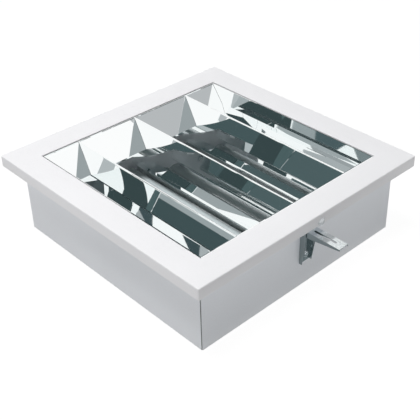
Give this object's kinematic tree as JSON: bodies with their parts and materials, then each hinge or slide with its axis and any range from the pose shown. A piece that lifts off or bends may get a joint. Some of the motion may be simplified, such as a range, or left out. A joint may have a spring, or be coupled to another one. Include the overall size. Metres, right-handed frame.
{
  "type": "recessed louvre light",
  "caption": "Square recessed louvre light with wedge mirror blades, white trim frame, hinged louvre and folding ceiling clamps.",
  "frame": {"origin": "centre of the housing's back face, on which the light lies", "axes": "+X along the blades towards the right clamp bracket, +Z out of the light opening"},
  "size_m": [0.4822, 0.4, 0.119],
  "materials": {
    "white_enamel": "smooth satin powder coat",
    "grey_enamel": "smooth satin powder coat, inside and out",
    "mirror_aluminium": "bright anodised mirror finish",
    "zinc_steel": "bright zinc plate",
    "bright_screw": "bright zinc plate",
    "rivet_grey": "light grey satin",
    "spring_steel": "plain spring steel",
    "white_plastic": "moulded, satin",
    "clip_plastic": "clear white moulded",
    "lamp_glass": "phosphor-coated tube, opaque white",
    "ballast_case": "white painted case",
    "brass": "plain brass",
    "black_rubber": "soft black rubber"
  },
  "bodies": {
    "housing": {"housing_tray": "grey_enamel", "end_panel_right": "grey_enamel", "end_panel_left": "grey_enamel", "trim_frame": "white_enamel", "floor_reflector": "mirror_aluminium", "reflector_screws": "bright_screw", "ballast": "ballast_case", "ballast_screws": "bright_screw", "terminal_block": "white_plastic", "earth_stud": "brass", "cable_grommet": "black_rubber", "lamp_front": "lamp_glass", "lamp_centre": "lamp_glass", "lamp_rear": "lamp_glass", "lamp_cap_front": "white_plastic", "lamp_cap_centre": "white_plastic", "lamp_cap_rear": "white_plastic", "lamp_holder_front": "white_plastic", "lamp_holder_centre": "white_plastic", "lamp_holder_rear": "white_plastic", "lamp_clip_front": "clip_plastic", "lamp_clip_centre": "clip_plastic", "lamp_clip_rear": "clip_plastic", "hinge_bracket_right": "zinc_steel", "hinge_bracket_left": "zinc_steel", "catch_spring_right": "spring_steel", "catch_spring_left": "spring_steel", "slot_screw_right": "bright_screw", "slot_screw_left": "bright_screw", "slot_washer_right": "bright_screw", "slot_washer_left": "bright_screw", "clinch_nut_right": "bright_screw", "clinch_nut_left": "bright_screw", "lip_rivet_right": "rivet_grey", "lip_rivet_left": "rivet_grey"},
    "louvre": {"blade_front": "mirror_aluminium", "blade_centre": "mirror_aluminium", "blade_rear": "mirror_aluminium", "louvre_end_right": "mirror_aluminium", "louvre_end_left": "mirror_aluminium", "side_reflector_front": "mirror_aluminium", "side_reflector_rear": "mirror_aluminium", "pivot_pin_right": "bright_screw", "pivot_pin_left": "bright_screw"},
    "bracket_right": {"bracket_plate_right": "zinc_steel", "bracket_pin_right": "bright_screw"},
    "arm_right": {"bracket_arm_right": "zinc_steel"},
    "bracket_left": {"bracket_plate_left": "zinc_steel", "bracket_pin_left": "bright_screw"},
    "arm_left": {"bracket_arm_left": "zinc_steel"}
  },
  "joints": [
    {"name": "louvre_hinge", "type": "hinge", "parent": "housing", "child": "louvre", "pos_m": [0, 0.15, 0.112], "axis": [-1, 0, 0], "range_deg": [0, 90]},
    {"name": "bracket_slide_right", "type": "slide", "parent": "housing", "child": "bracket_right", "axis": [0, 0, -1], "range_m": [0, 0.025]},
    {"name": "arm_fold_right", "type": "hinge", "parent": "bracket_right", "child": "arm_right", "pos_m": [0.1851, 0, 0.0876], "axis": [0, 1, 0], "range_deg": [0, 90]},
    {"name": "bracket_slide_left", "type": "slide", "parent": "housing", "child": "bracket_left", "axis": [0, 0, -1], "range_m": [0, 0.025]},
    {"name": "arm_fold_left", "type": "hinge", "parent": "bracket_left", "child": "arm_left", "pos_m": [-0.1851, 0, 0.0876], "axis": [0, -1, 0], "range_deg": [0, 90]}
  ]
}
